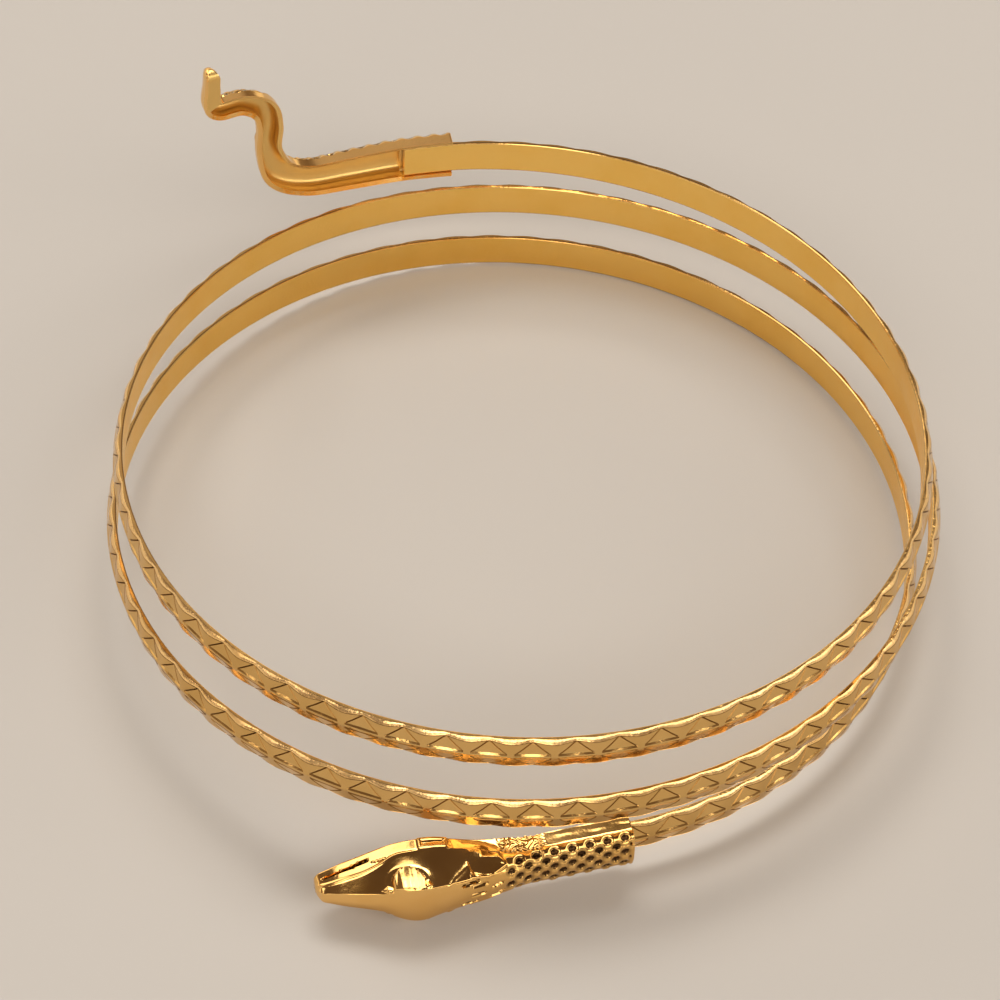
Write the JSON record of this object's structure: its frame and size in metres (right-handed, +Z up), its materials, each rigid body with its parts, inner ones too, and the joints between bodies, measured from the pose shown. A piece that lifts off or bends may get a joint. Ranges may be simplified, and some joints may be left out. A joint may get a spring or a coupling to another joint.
{
  "type": "snake bracelet",
  "caption": "Springy bracelet wound from patterned strip, worn round the upper arm, with a cast snake head on its lower end and a curling hollow tail on its upper end.",
  "frame": {"origin": "on the surface the bracelet lies on, below the middle of its bounding box", "axes": "+Z up from that surface, -Y towards the snake's head at the front, +X to the right seen from the front"},
  "size_m": [0.081, 0.0884, 0.0313],
  "materials": {
    "strip_gold": "polished gold plate on stamped strip, satin on its inner face",
    "cast_gold": "bright polished gold plate on a casting"
  },
  "bodies": {
    "root": {"band": "strip_gold", "head": "cast_gold", "tail": "cast_gold"}
  },
  "joints": []
}
